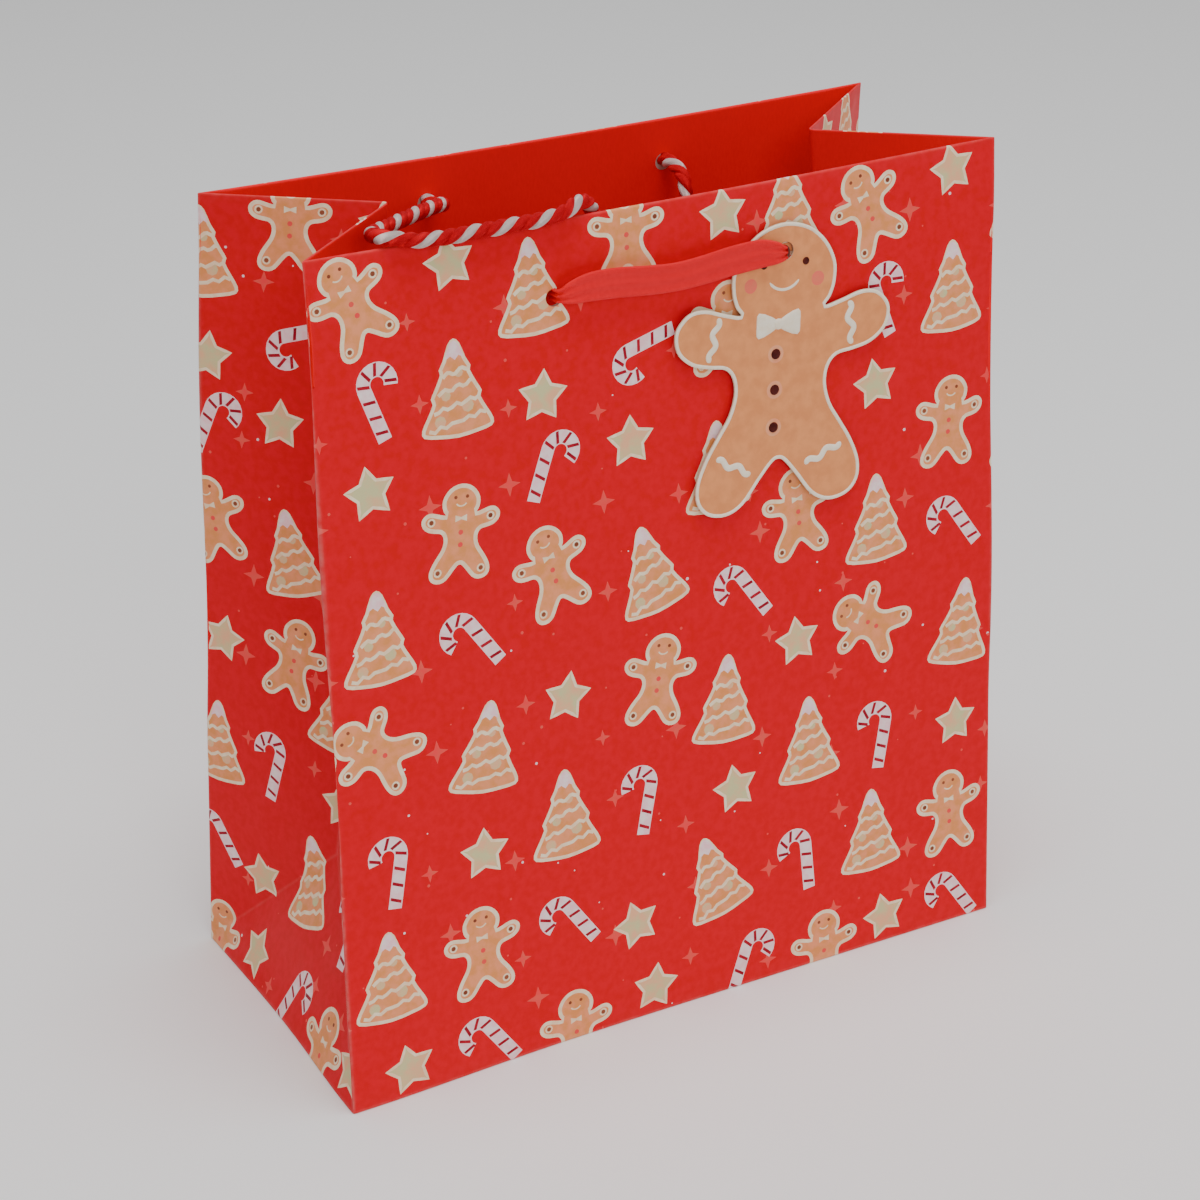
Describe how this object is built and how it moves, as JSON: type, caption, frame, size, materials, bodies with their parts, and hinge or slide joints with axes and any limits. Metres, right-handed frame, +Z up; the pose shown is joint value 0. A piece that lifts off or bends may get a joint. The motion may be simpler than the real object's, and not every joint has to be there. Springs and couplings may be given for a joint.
{
  "type": "gift bag",
  "caption": "Block-bottom paper gift bag with folded-in side gussets, striped cord handles lying in the mouth, and a die-cut gift tag threaded on a ribbon.",
  "frame": {"origin": "centre of the base, on the surface that the bag stands on", "axes": "+X to the right across the front wall, -Y out of the front wall, +Z up to the mouth"},
  "size_m": [0.228, 0.112, 0.26],
  "materials": {
    "printed_paper": "laminated art paper, red ground with a small printed pattern, soft gloss",
    "inner_paper": "plain red paper, satin",
    "grey_card": "uncoated grey-brown card, matte",
    "handle_cord": "twisted cord, red with one pale ply, slight sheen",
    "ribbon": "satin ribbon, bright red, silky sheen",
    "tag_card": "kraft-brown die-cut card with pale raised print, matte"
  },
  "bodies": {
    "bag": {"front_panel": "printed_paper", "back_panel": "printed_paper", "left_gusset_front": "printed_paper", "left_gusset_back": "printed_paper", "left_gusset_base": "printed_paper", "right_gusset_front": "printed_paper", "right_gusset_back": "printed_paper", "right_gusset_base": "printed_paper", "bottom_flap_front": "printed_paper", "bottom_flap_back": "printed_paper", "bottom_flap_left": "printed_paper", "bottom_flap_right": "printed_paper", "side_seam_tab": "inner_paper", "front_hem": "inner_paper", "back_hem": "inner_paper", "left_hem_front": "inner_paper", "left_hem_back": "inner_paper", "right_hem_front": "inner_paper", "right_hem_back": "inner_paper", "front_card": "grey_card", "back_card": "grey_card", "base_board": "grey_card", "front_handle_end_left": "handle_cord", "front_handle_end_right": "handle_cord", "back_handle_end_left": "handle_cord", "back_handle_end_right": "handle_cord", "tag_ribbon": "ribbon", "ribbon_knot_left": "ribbon", "ribbon_knot_right": "ribbon"},
    "front_handle": {"front_handle_cord": "handle_cord"},
    "back_handle": {"back_handle_cord": "handle_cord"},
    "tag": {"gift_tag": "tag_card"}
  },
  "joints": [
    {"name": "back_handle_swing", "type": "hinge", "parent": "bag", "child": "back_handle", "pos_m": [0, 0.03315, 0.241], "axis": [-1, 0, 0], "range_deg": [0, 65]},
    {"name": "front_handle_swing", "type": "hinge", "parent": "bag", "child": "front_handle", "pos_m": [0, -0.03315, 0.241], "axis": [1, 0, 0], "range_deg": [0, 36]},
    {"name": "tag_swivel", "type": "hinge", "parent": "bag", "child": "tag", "pos_m": [0.038, -0.03903, 0.233], "axis": [0, -0.9969, 0.0782], "range_deg": [-30, 30]}
  ]
}
